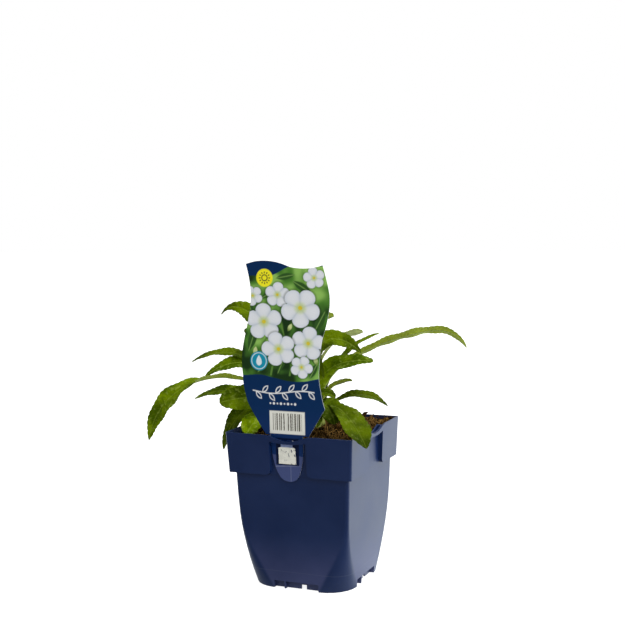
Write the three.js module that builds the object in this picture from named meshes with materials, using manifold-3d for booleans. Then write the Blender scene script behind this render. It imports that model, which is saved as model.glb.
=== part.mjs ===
// A young peach-leaved bellflower in a square nursery pot, with its plant label. Millimetres, +Z up.
// The label faces -Y. The origin is on the pot's axis, at the level that the pot stands on.
import * as THREE from "three";
import { mergeVertices } from "three/addons/utils/BufferGeometryUtils.js";
import Module from "manifold-3d";

const wasm = await Module();
wasm.setup();

// The gap between pieces that touch on the real thing
const seat = 0.3;

// Pot: one moulded shell. A half is measured from the axis to a flat side
const potHeight = 125;
const rimHalf = 53.7;
const bandHeight = 32;
const bandFootHalf = 52.1;
const bandCorner = 2;
const bodyTopHalf = 48.4;
const baseHalf = 42.2;
const bodyBulge = 1.35;
const bodyCorner = 3.1;
const baseCorner = 23;
const cornerTop = 60;
const cornerSwell = 1.75;
const wall = 1.2;
const bandFoot = potHeight - bandHeight;

// Pot: the dip in each side of the rim, and the pocket below it that takes the label
const dipDepth = 4.5;
const dipHalf = 22;
const pocketHalf = 15.5;
const pocketFace = 49;
const pocketCorner = 4;
const strapFoot = 118.3;
const strapRise = 1.6;
const strapBack = 51.5;

// Pot: floor, feet, middle pad and drain holes
const floorLow = 6;
const floorTop = 7.5;
const footHalf = 19;
const footFace = 38.6;
const footSlot = { from: 3, to: 7.5, height: 3.5 };
const footRib = { from: -10.2, to: -9 };
const padRadius = 12;
const drainRadius = 5;
const drainPlace = 22;

// Soil
const soilEdge = 119;
const soilMound = 2.4;
const soilRise = 3.6;
const soilCorner = 48;
const soilCell = 6;

// Label: a flat card standing in the front pocket
const cardBack = 49.3;
const cardThick = 0.6;
const cardLow = 88.4;
const cardLeft = -34.3;
const waveReach = 4.6;
const waveStart = 207;
const waveLength = 108;
const tabHinge = 102.4;
const tabMiddle = -1.4;
const tabGap = 0.5;
const tabLean = 0.065;

// Leaves
const bladeThick = 0.7;
const stalkHalf = 1.4;
const stalkThick = 2;
const tipHalf = 0.4;
const stationStep = 4.8;
const toothOut = 0.6;
const toothIn = 0.24;
const ribDepth = 0.3;

// The short crowns that the rosettes grow from, rooted in the soil
const crownLow = 106;
const crownRadius = 4;
const crownNeck = 122;
const crownTop = 130;
const youngLength = 30;

// How far a cutting block runs past the face that it cuts
const past = 5;

const radians = THREE.MathUtils.degToRad;
const vector = (x, y, z) => new THREE.Vector3(x, y, z);

// Turns a geometry into a solid that can be joined and cut
function solidOf(geometry) {
  const bare = new THREE.BufferGeometry();
  bare.setAttribute("position", geometry.getAttribute("position").clone());
  bare.setIndex(geometry.index);
  const merged = mergeVertices(bare, 1e-4);
  const vertProperties = new Float32Array(merged.getAttribute("position").array);
  const triVerts = new Uint32Array(merged.index.array);
  return new wasm.Manifold(new wasm.Mesh({ numProp: 3, vertProperties, triVerts }));
}

function geometryOf(solid) {
  const { vertProperties, triVerts } = solid.getMesh();
  const geometry = new THREE.BufferGeometry();
  geometry.setAttribute("position", new THREE.BufferAttribute(vertProperties, 3));
  geometry.setIndex(new THREE.BufferAttribute(triVerts, 1));
  geometry.computeVertexNormals();
  return geometry;
}

// Joins solids, and fills any small hollow that is sealed between them
function joined(solids) {
  const bodies = solids.reduce((whole, piece) => whole.add(piece)).decompose();
  return bodies.reduce((largest, body) => (body.volume() > largest.volume() ? body : largest));
}

// Cuts every cutter away from a solid
const less = (solid, cutters) => cutters.reduce((rest, cutter) => rest.subtract(cutter), solid);

// A closed skin over rings of points, each ring seen anticlockwise from the end it leads to.
// otherWay names the strips whose squares are halved along their other diagonal
function loft(rings, otherWay = () => false) {
  const count = rings[0].length;
  const faces = [];
  for (let k = 0; k < rings.length - 1; k++) {
    for (let i = 0; i < count; i++) {
      const a = k * count + i;
      const b = k * count + ((i + 1) % count);
      const c = b + count;
      const d = a + count;
      const halves = otherWay(i) ? [a, b, d, b, c, d] : [a, b, c, a, c, d];
      faces.push(...halves);
    }
  }
  const last = (rings.length - 1) * count;
  for (let i = 1; i < count - 1; i++) {
    faces.push(0, i + 1, i);
    faces.push(last, last + i, last + i + 1);
  }
  const geometry = new THREE.BufferGeometry().setFromPoints(rings.flat());
  geometry.setIndex(faces);
  return geometry;
}

function box(x0, x1, y0, y1, z0, z1) {
  const geometry = new THREE.BoxGeometry(x1 - x0, y1 - y0, z1 - z0);
  return geometry.translate((x0 + x1) / 2, (y0 + y1) / 2, (z0 + z1) / 2);
}

function upright(radius, z0, z1, x = 0, y = 0, sides = 24) {
  const geometry = new THREE.CylinderGeometry(radius, radius, z1 - z0, sides);
  return geometry.rotateX(Math.PI / 2).translate(x, y, (z0 + z1) / 2);
}

// A plate parallel to the front, cut to an outline given in x and z
function plate(outline, front, back) {
  const shape = new THREE.Shape(outline.map(([x, z]) => new THREE.Vector2(x, z)));
  const geometry = new THREE.ExtrudeGeometry(shape, { depth: back - front, bevelEnabled: false });
  return geometry.rotateX(Math.PI / 2).translate(0, back, 0);
}

function onEachSide(geometry) {
  return [0, 1, 2, 3].map((turn) => solidOf(geometry.clone().rotateZ(turn * Math.PI / 2)));
}

// A level square ring with round corners
function squareRing(half, radius, z, steps = 6) {
  const ring = [];
  for (let corner = 0; corner < 4; corner++) {
    const middle = (corner + 0.5) * Math.PI / 2;
    const cx = Math.sign(Math.cos(middle)) * (half - radius);
    const cy = Math.sign(Math.sin(middle)) * (half - radius);
    for (let i = 0; i <= steps; i++) {
      const angle = (corner + i / steps) * Math.PI / 2;
      ring.push(vector(cx + radius * Math.cos(angle), cy + radius * Math.sin(angle), z));
    }
  }
  return ring;
}

// The body's half width narrows in a slow curve from the band to the base
function bodyHalf(z) {
  const drop = 1 - z / bandFoot;
  return baseHalf + (bodyTopHalf - baseHalf) * (1 - Math.max(0, drop) ** bodyBulge);
}

// The body's corners are tight above, and grow round towards the base
function bodyRadius(z) {
  const drop = Math.max(0, 1 - z / cornerTop);
  return bodyCorner + (baseCorner - bodyCorner) * drop ** cornerSwell;
}

const bodyLevels = [12, 20, 30, 40, 50, cornerTop, 76];

// Rings up the body and the band, moved inwards, between two heights
function potRings(inset, low, ledge, high, steps) {
  const body = [low, ...bodyLevels, ledge].map((z) => {
    const radius = Math.max(1, bodyRadius(z) - inset);
    return squareRing(bodyHalf(z) - inset, radius, z, steps);
  });
  const bandHalf = (z) => bandFootHalf + (rimHalf - bandFootHalf) * (z - bandFoot) / bandHeight;
  const band = [ledge, high].map((z) => squareRing(bandHalf(z) - inset, bandCorner - inset, z, steps));
  return [...body, ...band];
}

// The filled outline of a pocket: square above, its lower corners rounded outwards
function pocketOutline(grow, top) {
  const half = pocketHalf + grow;
  const foot = bandFoot - 1;
  const reach = half + pocketCorner;
  const right = [];
  for (let i = 0; i <= 4; i++) {
    const angle = i / 4 * Math.PI / 2;
    const x = reach - pocketCorner * Math.cos(angle);
    right.push([x, bandFoot + grow + pocketCorner * (1 - Math.sin(angle))]);
  }
  right.push([reach, foot]);
  const left = right.map(([x, z]) => [-x, z]).reverse();
  return [[half, top], ...right, ...left, [-half, top]].reverse();
}

// What stands above the dip in the rim
function dipOutline() {
  const points = [];
  for (let x = -dipHalf; x <= dipHalf; x += dipHalf / 8) {
    points.push([x, potHeight - dipDepth / 2 * (1 + Math.cos(Math.PI * x / dipHalf))]);
  }
  return [...points, [dipHalf, potHeight + past], [-dipHalf, potHeight + past]];
}

// The strap across the pocket, with its lower edge bowed like the rim
function strapOutline() {
  const reach = pocketHalf + 1;
  const points = [];
  for (let i = 0; i <= 8; i++) {
    const x = -reach + 2 * reach * i / 8;
    points.push([x, strapFoot + strapRise * (x / reach) ** 2]);
  }
  return [...points, [reach, potHeight + past], [-reach, potHeight + past]];
}

// The blocks of wall behind and beside the four pockets
function pilasters(grow) {
  const top = potHeight + 2 * past;
  return onEachSide(plate(pocketOutline(wall + grow, top), -rimHalf - past, -(pocketFace - wall - grow)));
}

function potSolid() {
  const shell = solidOf(loft(potRings(0, 0, bandFoot, potHeight, 6)));
  const inside = solidOf(loft(potRings(wall, floorTop, bandFoot + wall, potHeight + past, 6)));
  const front = -rimHalf - past;
  const strap = solidOf(plate(strapOutline(), front, -strapBack));
  const pocket = solidOf(plate(pocketOutline(0, potHeight + past), front, -pocketFace)).subtract(strap);
  const pockets = onEachSide(geometryOf(pocket));
  const dips = onEachSide(plate(dipOutline(), front, past - pocketFace));
  const hollow = less(inside, pilasters(0));
  return footed(less(shell, [hollow, ...pockets, ...dips]));
}

// Hollows the pot's underside into a skirt with a notch on each side, and adds the pad and drain holes
function footed(pot) {
  const low = -past;
  const high = floorTop + past;
  const out = -baseHalf - past;
  const rings = [low, 2, floorLow].map((z) => {
    const level = Math.max(0, z);
    return squareRing(bodyHalf(level) - wall, bodyRadius(level) - wall, z);
  });
  const feet = onEachSide(box(-footHalf - wall, footHalf + wall, out, wall - footFace, 2 * low, high));
  const underside = less(solidOf(loft(rings)), [...feet, solidOf(upright(padRadius, 2 * low, high))]);
  const rib = solidOf(box(footRib.from, footRib.to, 2 * out, past - footFace, 2 * low, high));
  const notch = solidOf(box(-footHalf, footHalf, out, -footFace, low, floorLow)).subtract(rib);
  const slot = box(footSlot.from, footSlot.to, out, 2 * wall - footFace, low, footSlot.height);
  const cup = solidOf(upright(padRadius - wall, wall, high));
  const drains = onEachSide(upright(drainRadius, floorLow - 1, high, drainPlace, drainPlace));
  return less(pot, [underside, ...onEachSide(geometryOf(notch)), ...onEachSide(slot), cup, ...drains]);
}

// The soil's level: a low mound that rises to the back right corner, with lumps of three sizes
function soilLevel(x, y) {
  const away = Math.min(1, Math.hypot(x, y) / rimHalf);
  const lumps = 0.55 * Math.sin(x / 3.1 + 1) * Math.sin(y / 2.7) + 0.45 * Math.sin(x / 5.3 - y / 4.1);
  const rise = soilRise * (Math.max(0, x + y) / (2 * soilCorner)) ** 2;
  return soilEdge + soilMound * (1 - away * away) + rise + lumps + 0.3 * Math.sin(x / 1.7 + y / 2.2);
}

function soilSolid(crowns) {
  const inset = wall + seat;
  const ledge = bandFoot + wall + seat;
  const fill = solidOf(loft(potRings(inset, floorTop + seat, ledge, potHeight + past, 3)));
  const cells = Math.ceil(2 * rimHalf / soilCell);
  const span = cells * soilCell;
  const above = new THREE.BoxGeometry(span, span, 1, cells, cells, 1);
  const place = above.getAttribute("position");
  for (let i = 0; i < place.count; i++) {
    const low = place.getZ(i) < 0;
    place.setZ(i, low ? soilLevel(place.getX(i), place.getY(i)) : potHeight + 2 * past);
  }
  const holes = crowns.map(({ at: [x, y], radius }) =>
    solidOf(upright(radius + seat, crownLow - seat, potHeight + past, x, y, 12)));
  return less(fill, [...pilasters(seat), solidOf(above), ...holes]);
}

// A smooth run of outline points through a few chosen ones
function through(points, steps) {
  const curve = new THREE.SplineCurve(points.map(([x, z]) => new THREE.Vector2(x, z)));
  return curve.getPoints(steps).map((point) => [point.x, point.y]);
}

// The card's outline: waved edges above, then two slopes to the tongue that stands in the pocket
function cardOutline() {
  const left = [];
  for (let z = 257; z > 168; z -= 5) {
    left.push([cardLeft + waveReach * Math.sin(2 * Math.PI * (z - waveStart) / waveLength), z]);
  }
  const shoulder = potHeight - 0.2;
  const slope = through([[-38.3, 166], [-37.6, 161.5], [-36.1, 155.3], [-34.2, 149], [-27.2, 136.7]], 10);
  const lowerLeft = [...slope, [-19.6, shoulder - 0.4], [-17.2, shoulder], [-15, shoulder]];
  const tongue = through([[-15, 121], [-15, 115], [-13.8, 106.8], [-11.2, 97.9], [-7.4, 91.5], [-3.4, 89],
    [0.6, cardLow], [4.4, 89.5], [7.6, 92.7], [10.1, 99.4], [11.7, 109], [12, 121]], 26);
  const lowerRight = [[15, shoulder], [16.8, shoulder], [30.7, 146.8]];
  const right = through([[29.2, 151.6], [27.7, 159], [26.2, 170.1], [26.9, 181.7], [28.1, 192.1],
    [29.8, 200.7], [33, 210.4], [35.6, 221.3], [36.4, 229.3], [36, 236.4], [33.8, 246.6], [31.1, 256.6]], 22);
  const top = through([[26.4, 255.3], [19.9, 254.3], [12.2, 254.2], [4.5, 255.2], [-2, 257.5], [-9.1, 259.3],
    [-17.4, 260.2], [-25.5, 259.6], [-33.4, 257.6]], 16);
  return [...left, ...lowerLeft, ...tongue, ...lowerRight, ...right, ...top];
}

// The punched tab, barbed at its head to hold behind the strap
function tabOutline(grow) {
  const side = [[7.3, 0], [7.1, 12.6], [4.9, 13.6], [4.9, 16.6], [6.9, 18.6], [4.4, 19.2], [2.5, 17.4]];
  const height = (z) => tabHinge + z + (z > 16 ? grow : 0);
  const right = side.map(([x, z]) => [tabMiddle + x + grow, height(z)]);
  const left = side.map(([x, z]) => [tabMiddle - x - grow, height(z)]);
  return [...right, ...left.reverse()];
}

function labelSolid() {
  const card = solidOf(plate(cardOutline(), -cardBack - cardThick, -cardBack));
  const opening = tabOutline(tabGap).map(([x, z]) => [x, Math.max(z, tabHinge + tabGap)]);
  const tab = plate(tabOutline(0), -cardThick, 0);
  tab.translate(0, 0, -tabHinge).rotateX(tabLean).translate(0, -cardBack, tabHinge);
  return card.subtract(solidOf(plate(opening, -cardBack - past, past - cardBack))).add(solidOf(tab));
}

// A smooth value at s, from 0 to 1, through evenly spaced ones
function mix(values, s) {
  const last = values.length - 1;
  if (last === 0) {
    return values[0];
  }
  const place = Math.min(Math.max(s, 0), 1) * last;
  const i = Math.min(Math.floor(place), last - 1);
  const f = place - i;
  const before = values[Math.max(i - 1, 0)];
  const after = values[Math.min(i + 2, last)];
  const rise = (values[i + 1] - before) / 2;
  const fall = (after - values[i]) / 2;
  const start = (1 - f) ** 2 * ((1 + 2 * f) * values[i] + f * rise);
  return start + f * f * ((3 - 2 * f) * values[i + 1] - (1 - f) * fall);
}

// Half the leaf's width at s: a narrow stalk, then a lance-shaped blade
function halfWidth(leaf, s) {
  const along = (s - leaf.stalk) / (1 - leaf.stalk);
  if (along <= 0) {
    return stalkHalf;
  }
  const swell = Math.sin(Math.PI * along ** leaf.widest) ** leaf.blunt;
  const end = stalkHalf + (tipHalf - stalkHalf) * along;
  return end + (leaf.width / 2 - end) * swell;
}

// The axes of a leaf at s: along it, across it and out of its upper face
function leafAxes(leaf, s) {
  const pitch = radians(mix(leaf.pitch, s));
  const heading = radians(leaf.heading + leaf.sweep * s);
  const roll = radians(mix(leaf.roll, s));
  const reach = Math.cos(pitch);
  const along = vector(reach * Math.cos(heading), reach * Math.sin(heading), Math.sin(pitch));
  const level = vector(-Math.sin(heading), Math.cos(heading), 0);
  const normal = along.clone().cross(level);
  const across = level.clone().multiplyScalar(Math.cos(roll)).addScaledVector(normal, Math.sin(roll));
  const upper = normal.multiplyScalar(Math.cos(roll)).addScaledVector(level, -Math.sin(roll));
  return { along, across, upper };
}

// Six points round the leaf: an edge, the rib and the other edge, on its upper and its lower face
function leafRing(leaf, centre, s, k) {
  const { across, upper } = leafAxes(leaf, s);
  const bare = halfWidth(leaf, s);
  const inBlade = Math.min(1, Math.max(0, (s - leaf.stalk) * 8));
  const half = bare + (k % 2 ? toothOut : -toothIn) * inBlade * Math.min(1, bare / 4);
  const lift = half * Math.tan(radians(leaf.fold * (1.3 - s)));
  const thick = stalkThick + (bladeThick - stalkThick) * Math.min(1, s / leaf.stalk);
  const wave = leaf.wave * inBlade * bare / 8;
  const point = (side, height) => centre.clone().addScaledVector(across, side).addScaledVector(upper, height);
  const rightLift = lift + wave * Math.sin(k * 1.3 + leaf.heading);
  const leftLift = lift + wave * Math.sin(k * 1.1 + leaf.heading + 2);
  const edge = thick / 2;
  return [point(half, rightLift - edge), point(half, rightLift + edge), point(0, edge),
    point(-half, leftLift + edge), point(-half, leftLift - edge), point(0, -edge - ribDepth)];
}

const leafHabit = { sweep: 0, stalk: 0.3, widest: 1.16, blunt: 0.85, fold: 16, wave: 0.7, roll: [0] };

// A leaf grows from a height on its stem, and its midrib follows the heading and the pitches
function leafSolid([x, y], given) {
  const leaf = { ...leafHabit, ...given };
  const steps = Math.max(6, Math.round(leaf.length / stationStep));
  const centre = vector(x, y, leaf.from);
  const rings = [leafRing(leaf, centre, 0, 0)];
  for (let k = 0; k < steps; k++) {
    centre.addScaledVector(leafAxes(leaf, (k + 0.5) / steps).along, leaf.length / steps);
    rings.push(leafRing(leaf, centre, (k + 1) / steps, k + 1));
  }
  return solidOf(loft(rings, (strip) => strip > 3));
}

// The short crown that a rosette's leaves grow from
function crownSolid([x, y], radius) {
  const neck = (crownNeck + crownTop) / 2;
  const profile = [
    [0, crownLow], [radius, crownLow], [radius, crownNeck], [0.8 * radius, neck], [0, crownTop],
  ];
  const points = profile.map(([r, z]) => new THREE.Vector2(r, z));
  return solidOf(new THREE.LatheGeometry(points, 12).rotateX(Math.PI / 2).translate(x, y, 0));
}

// A young leaf stands nearly upright in the middle of every rosette
function youngLeaf(heading) {
  return { from: 126, heading, length: youngLength, pitch: [84, 70, 40], width: 6, fold: 24 };
}

// Leaves that spread over the back of the pot, evenly fanned and drooping at their ends
function backLeaves(first, last, lengths) {
  return lengths.map((length, k) => ({
    from: 126 - k % 2, heading: first + (last - first) * k / Math.max(1, lengths.length - 1), length,
    pitch: [62 - 10 * (k % 2), 26, -18, -52], width: 9 + 0.06 * length, roll: [0, 12 - 24 * (k % 2)],
  }));
}

// The rosettes: where each stands, and its leaves, with headings and pitches in degrees
const rosettes = {
  shoot_left: {
    at: [-12, -2], young: 120,
    leaves: [
      {
        from: 126, heading: 204, length: 163, pitch: [58, 19, -28, -78], width: 20, stalk: 0.25,
        widest: 1.5, roll: [46, 40, 22, -40, -60],
      },
      { from: 128, heading: 190, length: 118, pitch: [67, 33, -29], width: 11, roll: [-26] },
      { from: 128, heading: 197, length: 106, pitch: [80, 27, -38], width: 14.5, roll: [-38] },
      {
        from: 129.4, heading: 208, length: 91, pitch: [71, -3, -45, -80], width: 18, widest: 0.8, blunt: 0.7,
        roll: [-14, -30, -36, -30],
      },
    ],
  },
  shoot_front_left: {
    at: [-10, -14], young: 250,
    leaves: [
      { from: 127, heading: 213, length: 70, pitch: [60, 15, -15], width: 21, blunt: 0.45, roll: [-60] },
      {
        from: 124, heading: 213, sweep: 32, length: 55, pitch: [66, -6, -56], width: 21, widest: 1.6,
        blunt: 0.5, roll: [0, -20],
      },
      { from: 125, heading: 285, length: 36, pitch: [80, 50, 10], width: 9 },
    ],
  },
  shoot_front_right: {
    at: [0, -12], young: 300,
    leaves: [
      { from: 124.5, heading: -6, length: 48, pitch: [102, 52, -34], width: 12.5, blunt: 0.6, roll: [20] },
      {
        from: 130, heading: -30, length: 91, pitch: [63, 6, -32, -53], width: 22, widest: 1.8, blunt: 0.8,
        roll: [20, 20, 12, 5],
      },
      { from: 124, heading: -38, length: 60, pitch: [72, 18, -68], width: 20, blunt: 0.6, roll: [20] },
      { from: 124, heading: -57, length: 52, pitch: [72, 12, -55], width: 14, blunt: 0.6 },
    ],
  },
  shoot_right: {
    at: [2, 1], young: 200,
    leaves: [
      {
        from: 128, heading: 10, length: 101, pitch: [73, 83, 101, 0, -46], width: 16, stalk: 0.28,
        roll: [50],
      },
      {
        from: 127, heading: 24, length: 164, pitch: [91, 57, 29, 17, 3, -58], width: 13,
        roll: [-65, -55, -40, -35, -50],
      },
      {
        from: 127, heading: 10, length: 84, pitch: [98, 73, 20, -5], width: 19, stalk: 0.2, widest: 0.7,
        blunt: 0.45, roll: [60, 60, 38, 30],
      },
      { from: 126, heading: 21, length: 69, pitch: [62, 14, -40], width: 12, roll: [22] },
    ],
  },
  shoot_back_right: {
    at: [1, 11], young: 60,
    leaves: [
      {
        from: 128, heading: 50, length: 96, pitch: [110, 62, -1], width: 13, stalk: 0.42, widest: 1.6,
        blunt: 0.6, roll: [-40],
      },
      { from: 127, heading: 30, length: 91, pitch: [85, 57, 18], width: 11, roll: [10] },
      {
        from: 126, heading: 30, length: 48, pitch: [93, 54, -4], width: 11, widest: 1.5, blunt: 0.6,
        roll: [-30],
      },
    ],
  },
  shoot_back: {
    at: [-6, 18], young: 90,
    leaves: backLeaves(110, 150, [60, 86, 62, 76]),
  },
  shoot_back_left: {
    at: [-14, 10], young: 150,
    leaves: [
      { from: 126, heading: 186, length: 102, pitch: [27, 15, -26], width: 13, roll: [-28] },
      ...backLeaves(156, 172, [92, 70]),
    ],
  },
};

// The one leafy stem: a slender stalk with small leaves up its length
const stem = {
  at: [-5, 5], radius: 1.7, height: 206,
  leaves: [
    {
      from: 182, heading: 194, length: 87, pitch: [26, 31, 38, 39, 15, -56], width: 18, widest: 0.7,
      blunt: 1.3, roll: [-60],
    },
    {
      from: 176, heading: 182, length: 64, pitch: [41, 20, 8], width: 10, widest: 1.4, blunt: 0.5,
      roll: [-55],
    },
    {
      from: 190, heading: 62, length: 37, pitch: [80, 40, -10], width: 10, widest: 1.4, blunt: 0.6,
      roll: [-45],
    },
  ],
};

function upperLeaves() {
  return [0, 1, 2, 3].map((k) => ({
    from: 154 + 13 * k, heading: 100 + 75 * k, length: 34 - 4 * k, pitch: [70, 45, 15], width: 6, stalk: 0.15,
  }));
}

function rosetteSolid({ at, young, leaves }) {
  const all = [...leaves, youngLeaf(young)];
  return joined([crownSolid(at, crownRadius), ...all.map((leaf) => leafSolid(at, leaf))]);
}

function stemSolid() {
  const [x, y] = stem.at;
  const stalk = new THREE.CylinderGeometry(stem.radius * 0.6, stem.radius, stem.height - crownLow, 8);
  stalk.rotateX(Math.PI / 2).translate(x, y, (stem.height + crownLow) / 2);
  const leaves = [...stem.leaves, ...upperLeaves()];
  return joined([solidOf(stalk), ...leaves.map((leaf) => leafSolid(stem.at, leaf))]);
}

function meshOf(name, solid, finish) {
  const material = new THREE.MeshStandardMaterial({ ...finish, metalness: 0 });
  const mesh = new THREE.Mesh(geometryOf(solid), material);
  mesh.name = name;
  return mesh;
}

const navyPlastic = { color: 0x1b2a4e, roughness: 0.45 };
const darkSoil = { color: 0x3a2617, roughness: 0.95 };
const printedCard = { color: 0x10305a, roughness: 0.35 };
const leafGreen = { color: 0x5a7a16, roughness: 0.5 };

const crowns = Object.values(rosettes).map(({ at }) => ({ at, radius: crownRadius }));
const pottedPlant = new THREE.Group();
pottedPlant.add(meshOf("pot", potSolid(), navyPlastic));
pottedPlant.add(meshOf("soil", soilSolid([...crowns, stem]), darkSoil));
pottedPlant.add(meshOf("label", labelSolid(), printedCard));
for (const [name, rosette] of Object.entries(rosettes)) {
  pottedPlant.add(meshOf(name, rosetteSolid(rosette), leafGreen));
}
pottedPlant.add(meshOf("leafy_stem", stemSolid(), leafGreen));

export default pottedPlant;
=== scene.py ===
import math

import bmesh
import bpy
import numpy as np
from mathutils import Matrix, Vector


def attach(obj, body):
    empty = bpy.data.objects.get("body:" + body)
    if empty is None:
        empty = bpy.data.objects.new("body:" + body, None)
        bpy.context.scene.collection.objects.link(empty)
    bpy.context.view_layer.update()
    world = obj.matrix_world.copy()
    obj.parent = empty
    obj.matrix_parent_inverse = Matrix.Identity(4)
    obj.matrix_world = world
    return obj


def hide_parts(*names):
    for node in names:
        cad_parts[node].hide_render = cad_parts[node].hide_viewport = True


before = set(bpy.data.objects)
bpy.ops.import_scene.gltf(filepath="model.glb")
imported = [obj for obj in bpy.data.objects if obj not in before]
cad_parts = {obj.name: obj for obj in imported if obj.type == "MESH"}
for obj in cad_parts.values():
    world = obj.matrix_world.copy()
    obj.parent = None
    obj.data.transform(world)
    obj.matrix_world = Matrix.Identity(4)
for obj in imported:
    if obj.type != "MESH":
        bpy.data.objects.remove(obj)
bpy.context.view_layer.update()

millimetre = 0.001
print("frame loaded")


# Meshes. All shapes are worked out in millimetres and put into the mesh in metres


def gridFaces(rows, columns, closed=False):
    # corner numbers of the squares between rows that follow one another, each row open or a closed ring
    k, i = np.meshgrid(np.arange(rows - 1), np.arange(columns if closed else columns - 1), indexing="ij")
    here, beside = k * columns + i, k * columns + (i + 1) % columns
    return np.stack([here, beside, beside + columns, here + columns], -1).reshape(-1, 4)


class Shape:
    # gathers the points and faces of one piece, and the numbers that its material reads at each point
    def __init__(self):
        self.points = []
        self.faces = []
        self.values = {}
        self.count = 0

    def add(self, points, squares, caps=(), **values):
        points = points.reshape(-1, 3)
        self.points.append(points)
        self.faces += (squares + self.count).tolist()
        self.faces += [(np.array(cap) + self.count).tolist() for cap in caps]
        for name, value in values.items():
            spread = np.broadcast_to(np.asarray(value, float).ravel(), (len(points),))
            self.values.setdefault(name, []).append(spread)
        self.count += len(points)

    def addTube(self, rings, **values):
        # closed rings along a path, with a flat face over each end
        rows, around = rings.shape[:2]
        ring = np.arange(around)
        caps = [ring[::-1], ring + (rows - 1) * around]
        self.add(rings, gridFaces(rows, around, closed=True), caps, **values)

    def piece(self, name, material, slot, *nodes):
        mesh = bpy.data.meshes.new(name)
        mesh.from_pydata(np.concatenate(self.points) * millimetre, [], self.faces, shade_flat=False)
        for key, parts in self.values.items():
            attribute = mesh.attributes.new(key, "FLOAT", "POINT")
            attribute.data.foreach_set("value", np.concatenate(parts).astype(np.float32))
        mesh.materials.append(material)
        return placed(name, mesh, slot, *nodes)


def newObject(name, data):
    made = bpy.data.objects.new(name, data)
    bpy.context.scene.collection.objects.link(made)
    return made


def placed(name, mesh, slot, *nodes):
    # puts a finished piece on the pot's body, in place of the solids that it stands for
    thing = newObject(name, mesh)
    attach(thing, "root")
    if nodes:
        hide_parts(*nodes)
    return thing


def circle(count):
    # the angles of evenly spaced points round a ring
    return np.linspace(0, 2 * np.pi, count, endpoint=False)


def levelRings(at, radius, z, turn):
    # level rings round an upright line: the cosine and sine of each angle times the radius
    return np.stack([at[0] + radius * np.cos(turn), at[1] + radius * np.sin(turn), z + 0 * turn], -1)


def between(first, last, share):
    # the value at a share of the way from the first to the last
    return first + (last - first) * share


def smoothStep(low, high, value):
    # a cubic that rises from 0 at low to 1 at high
    f = np.clip((value - low) / (high - low), 0, 1)
    return f * f * (3 - 2 * f)


def mix(values, s):
    # a smooth run through evenly spaced values: a cubic whose slope at each value is that of its neighbours
    values = np.asarray(values, float)
    last = len(values) - 1
    if last == 0:
        return np.full_like(s, values[0])
    place = np.clip(s, 0, 1) * last
    i = np.minimum(np.floor(place).astype(int), last - 1)
    f = place - i
    rise = (values[i + 1] - values[np.maximum(i - 1, 0)]) / 2
    fall = (values[np.minimum(i + 2, last)] - values[i]) / 2
    start = (1 - f) ** 2 * ((1 + 2 * f) * values[i] + f * rise)
    return start + f * f * ((3 - 2 * f) * values[i + 1] - (1 - f) * fall)


def noise(x, y, seed):
    # value noise: seeded numbers on a square lattice, blended smoothly between its corners
    lattice = np.random.default_rng(seed).random((64, 64))
    i = np.floor(x).astype(int)
    j = np.floor(y).astype(int)
    fx = smoothStep(0, 1, x - i)
    fy = smoothStep(0, 1, y - j)
    near, far = (lattice[i % 64, row % 64] * (1 - fx) + lattice[(i + 1) % 64, row % 64] * fx
                 for row in (j, j + 1))
    return near * (1 - fy) + far * fy


# Shader building


def newMaterial(name):
    material = bpy.data.materials.new(name)
    material.use_nodes = True
    return material, material.node_tree, material.node_tree.nodes["Principled BSDF"]


def node(tree, kind, **settings):
    made = tree.nodes.new("ShaderNode" + kind)
    for key, value in settings.items():
        setattr(made, key, value)
    return made


def feed(made, values):
    # joins each input of a node to an output, or sets it to a number or a colour
    for key, value in values.items():
        socket = made.inputs[key]
        if isinstance(value, bpy.types.NodeSocket):
            made.id_data.links.new(value, socket)
        else:
            socket.default_value = (*value, 1) if socket.type == "RGBA" else value


def maths(tree, operation, *values):
    made = node(tree, "Math", operation=operation)
    feed(made, dict(enumerate(values)))
    return made.outputs[0]


def scaled(tree, value, factor, start=0.0):
    # the value times a factor, plus a start
    return maths(tree, "MULTIPLY_ADD", value, factor, start)


def attribute(tree, name):
    return node(tree, "Attribute", attribute_name=name).outputs["Fac"]


def coordinates(tree):
    # the piece's own X, Y and Z
    made = node(tree, "SeparateXYZ")
    feed(made, {0: node(tree, "TexCoord").outputs["Object"]})
    return made.outputs


def band(tree, value, low, high):
    # 0 at low and 1 at high, with a smooth rise or fall between them
    made = node(tree, "MapRange", interpolation_type="SMOOTHSTEP")
    feed(made, {"Value": value, "From Min": low, "From Max": high})
    return made.outputs["Result"]


def blend(tree, factor, first, second, way="MIX"):
    # on a mix node the factor is input 0, the colours are inputs 6 and 7, and the mixed colour is output 2
    made = node(tree, "Mix", data_type="RGBA", blend_type=way)
    feed(made, {0: factor, 6: first, 7: second})
    return made.outputs[2]


def bump(tree, height, strength, distance):
    made = node(tree, "Bump")
    feed(made, {"Height": height, "Strength": strength, "Distance": distance * millimetre})
    return made.outputs["Normal"]


def mottleGroup():
    # soft cloudy unevenness and fine grain from object coordinates, each with its own scale
    group = bpy.data.node_groups.new("mottle", "ShaderNodeTree")
    details = {"Cloud": 4.0, "Grain": 3.0}
    for label in details:
        for name, way in ((label + "Scale", "INPUT"), (label, "OUTPUT")):
            group.interface.new_socket(name, in_out=way, socket_type="NodeSocketFloat")
    given, result = (group.nodes.new(kind) for kind in ("NodeGroupInput", "NodeGroupOutput"))
    place = node(group, "TexCoord").outputs["Object"]
    for label, detail in details.items():
        cloud = node(group, "TexNoise")
        feed(cloud, {"Vector": place, "Scale": given.outputs[label + "Scale"], "Detail": detail})
        feed(result, {label: cloud.outputs["Fac"]})
    return group


mottle = mottleGroup()


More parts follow.
